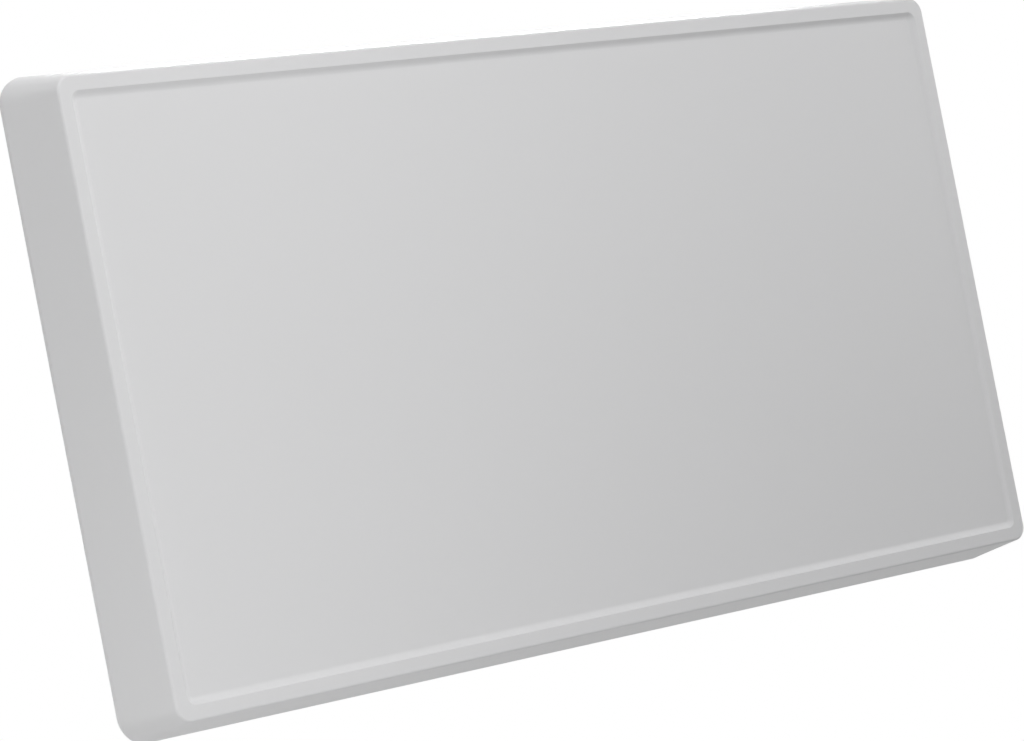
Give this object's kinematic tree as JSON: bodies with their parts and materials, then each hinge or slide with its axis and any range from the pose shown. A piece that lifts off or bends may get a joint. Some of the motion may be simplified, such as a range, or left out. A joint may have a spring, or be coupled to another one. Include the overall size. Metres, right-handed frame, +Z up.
{
  "type": "flat satellite antenna",
  "caption": "Flat, box-shaped satellite antenna: a plain sunken front panel in a raised rim with flared sides, a horn array and LNB inside, and a bracket pattern and F socket at the back.",
  "frame": {"origin": "centre of the four bracket holes on the back, in the plane of the bracket rails", "axes": "+X to the right as seen from the front, +Z up, -Y out of the antenna's face, so the bracket bolts point along -Y as they go in"},
  "size_m": [0.547, 0.058, 0.277],
  "materials": {
    "cover_plastic": "light grey moulded ASA, satin",
    "silicone": "grey silicone cord",
    "stainless": "stainless steel",
    "aluminium_sheet": "mill finish sheet",
    "metallised_plastic": "moulded plastic with a metal coat, satin",
    "foam": "white closed-cell foam",
    "conductive_rubber": "silver-filled silicone",
    "chip_plastic": "black epoxy packages",
    "die_cast": "die-cast, matt",
    "laminate": "green circuit laminate",
    "tinned_steel": "tin plated sheet",
    "brass": "turned brass",
    "nickel_plate": "nickel plated brass",
    "ptfe": "white PTFE",
    "black_rubber": "black EPDM",
    "vent_plastic": "grey polyamide"
  },
  "bodies": {
    "root": {"front_cover": "cover_plastic", "rear_cover": "cover_plastic", "cover_gasket": "silicone", "cover_screws": "stainless", "mount_inserts": "brass", "base_plate": "aluminium_sheet", "feed_plate_v": "metallised_plastic", "feed_plate_h": "metallised_plastic", "horn_plate": "metallised_plastic", "foam_sheet": "foam", "lnb_housing": "die_cast", "port_gaskets": "conductive_rubber", "lnb_board": "laminate", "waveguide_probes": "brass", "board_chips": "chip_plastic", "rf_shield": "tinned_steel", "lnb_lid": "tinned_steel", "f_connector_body": "nickel_plate", "f_connector_insulator": "ptfe", "f_connector_contact": "brass", "connector_seal": "black_rubber", "breather_vent": "vent_plastic"}
  },
  "joints": []
}
